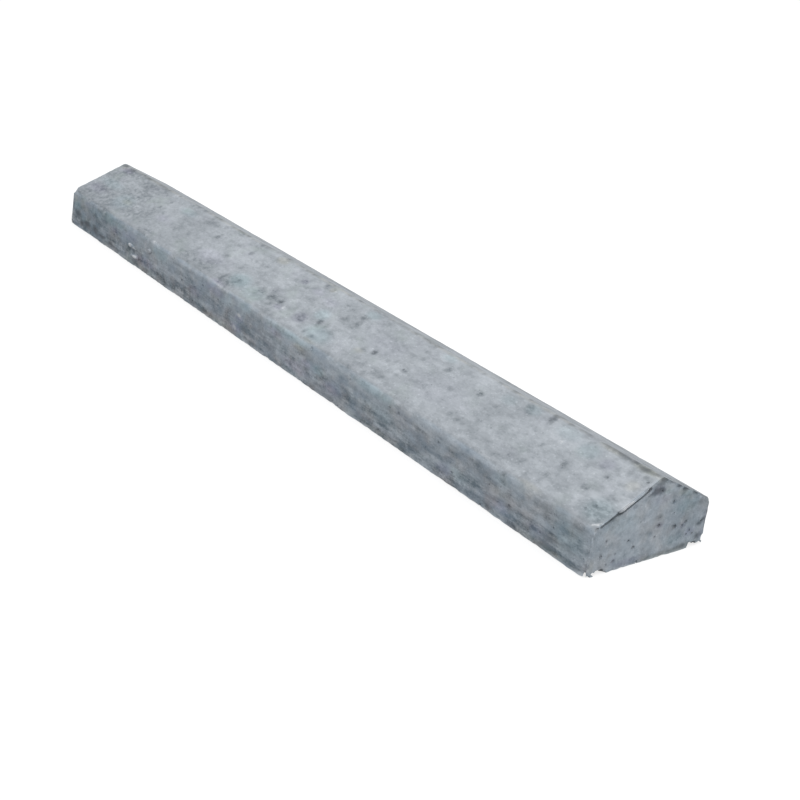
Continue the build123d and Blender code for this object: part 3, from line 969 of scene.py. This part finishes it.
# Painted shade: the sides, and then all the upright faces, are tinted a little blue, as faces lit mostly by
# the sky look.
side_shade_bluing = sums('MULTIPLY', on_sides, rise(clouds(size=17 * mm, detail=2, stretch=1.8), 0.48, 0.66, top=0.4))
cement = tinted(cement, side_shade_blue, side_shade_bluing)
earthy = sums('MULTIPLY', low_on_side, rise(clouds(size=12 * mm, stretch=3), 0.44, 0.64, top=0.35))
cement = tinted(cement, foot_brown, earthy)
brownish = sums('MULTIPLY', past_ridge, rise(clouds(size=7 * mm, stretch=2), 0.42, 0.62, top=0.25))
cement = tinted(cement, far_slope_brown, brownish)
upright = sums('MAXIMUM', on_sides, on_ends)
upright_shade_bluing = sums('MULTIPLY', upright, rise(clouds(size=20 * mm, detail=2), 0.3, 0.6, top=0.17))
cement = tinted(cement, sky_lit_shade_blue, upright_shade_bluing)
cement = tinted(cement, teal_tint, painted("teal"), 'MULTIPLY')
cement = tinted(cement, plum_tint, painted("plum"), 'MULTIPLY')
cement = tinted(cement, olive_tint, painted("olive"), 'MULTIPLY')
# Fresh chips, and the painted highlight on the flash's edge, take the colour of new paste.
chips_and_highlight = sums('MULTIPLY', rise(painted("pale"), 0.72, 0.98), rise(clouds(size=4 * mm, detail=2), 0.3, 0.5))
cement = tinted(cement, fresh_paste_and_highlight, chips_and_highlight)
cement = tinted(cement, black_dirt_and_shade, painted("black"))

# The grain of the skin, which is too fine for the mesh, and a matt finish
grain_depth = 0.5 * mm
dull_gloss = 0.3
least_roughness = 0.84
fine_grain = sums('MULTIPLY', 0.5, clouds(size=1.2 * mm, detail=2))
broad_grain = sums('MULTIPLY', 0.4, clouds(size=4 * mm, detail=2))
pinholes = sums('MULTIPLY', 0.3, specks(size=3.4 * mm, width=0.42, share=0.3))
grain = concrete_nodes.new("ShaderNodeBump")
grain.inputs["Distance"].default_value = grain_depth
feed(grain.inputs["Height"], sums('SUBTRACT', sums('ADD', fine_grain, broad_grain), pinholes))
finish = concrete_nodes["Principled BSDF"]
feed(finish.inputs["Base Color"], cement)
finish.inputs["Specular IOR Level"].default_value = dull_gloss
feed(finish.inputs["Roughness"], sums('ADD', least_roughness, sums('MULTIPLY', 0.2, clouds(size=9 * mm))))
feed(finish.inputs["Normal"], grain.outputs["Normal"])
coping_mesh.materials.clear()
coping_mesh.materials.append(concrete)

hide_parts("coping_stone")
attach(cast_coping, "root")

# The floor
# A wide sheet of white paper under the coping. The camera sees it as bright as the white behind it, with
# the soft shadow of the coping on it, and it throws only a little light back up.
floor_half_width = 6
paper_colour = (0.32, 0.32, 0.32, 1)
paper_glow = 0.74
floor_shape = bmesh.new()
bmesh.ops.create_grid(floor_shape, x_segments=1, y_segments=1, size=floor_half_width)
floor_mesh = bpy.data.meshes.new("floor")
floor_shape.to_mesh(floor_mesh)
floor_shape.free()
floor = bpy.data.objects.new("floor", floor_mesh)
bpy.context.collection.objects.link(floor)
paper = bpy.data.materials.new("white paper")
paper.use_nodes = True
paper.node_tree.nodes.clear()


def seen_directly(tree):
    """1 for what the camera sees, also through glass or in a mirror, and 0 for what only gives light."""
    ray = tree.nodes.new("ShaderNodeLightPath")
    seen = ray.outputs["Is Camera Ray"]
    for kind in ("Is Glossy Ray", "Is Transmission Ray"):
        either = tree.nodes.new("ShaderNodeMath")
        either.operation = 'MAXIMUM'
        tree.links.new(seen, either.inputs[0])
        tree.links.new(ray.outputs[kind], either.inputs[1])
        seen = either.outputs[0]
    return seen


matt = paper.node_tree.nodes.new("ShaderNodeBsdfDiffuse")
matt.inputs["Color"].default_value = paper_colour
glow = paper.node_tree.nodes.new("ShaderNodeEmission")
glow_strength = paper.node_tree.nodes.new("ShaderNodeMath")
glow_strength.operation = 'MULTIPLY'
glow_strength.inputs[1].default_value = paper_glow
both = paper.node_tree.nodes.new("ShaderNodeAddShader")
paper_output = paper.node_tree.nodes.new("ShaderNodeOutputMaterial")
paper.node_tree.links.new(seen_directly(paper.node_tree), glow_strength.inputs[0])
paper.node_tree.links.new(glow_strength.outputs[0], glow.inputs["Strength"])
paper.node_tree.links.new(matt.outputs[0], both.inputs[0])
paper.node_tree.links.new(glow.outputs[0], both.inputs[1])
paper.node_tree.links.new(both.outputs[0], paper_output.inputs["Surface"])
floor_mesh.materials.append(paper)

# The light
# A bright overcast day: an even sky, and a soft sun high up over the near end. The camera sees the sky as
# pure white, and it lights the coping a little less.
sky_light = 0.6
sky_white = 1.0
sun_strength = 1.5
sun_spread = math.radians(60)
towards_sun = Vector((0.19, -0.04, 0.44))
sky = bpy.data.worlds.new("overcast sky")
sky.use_nodes = True
bpy.context.scene.world = sky
sky_tree = sky.node_tree
sky_tree.nodes.clear()
sky_strength = sky_tree.nodes.new("ShaderNodeMapRange")
sky_strength.inputs["To Min"].default_value = sky_light
sky_strength.inputs["To Max"].default_value = sky_white
sky_glow = sky_tree.nodes.new("ShaderNodeBackground")
sky_glow.inputs["Color"].default_value = (1, 1, 1, 1)
sky_output = sky_tree.nodes.new("ShaderNodeOutputWorld")
sky_tree.links.new(seen_directly(sky_tree), sky_strength.inputs["Value"])
sky_tree.links.new(sky_strength.outputs[0], sky_glow.inputs["Strength"])
sky_tree.links.new(sky_glow.outputs[0], sky_output.inputs["Surface"])

sun_light = bpy.data.lights.new("soft sun", 'SUN')
sun_light.energy = sun_strength
sun_light.angle = sun_spread
sun = bpy.data.objects.new("soft sun", sun_light)
sun.rotation_euler = towards_sun.to_track_quat('Z', 'Y').to_euler()
bpy.context.collection.objects.link(sun)

# The camera
# It looks down on the near end from the right, and is turned a little so that the coping falls from upper
# left to lower right.
camera_place = (1.1048, -0.8232, 0.5314)
camera_turn = (66.955, -8.111, 52.73)
camera_lens = bpy.data.cameras.new("camera")
camera_lens.sensor_width = 36
camera_lens.lens = 58.91
camera = bpy.data.objects.new("camera", camera_lens)
camera.location = camera_place
camera.rotation_euler = Euler([math.radians(angle) for angle in camera_turn])
bpy.context.collection.objects.link(camera)
bpy.context.scene.camera = camera
bpy.context.scene.view_settings.view_transform = 'Standard'
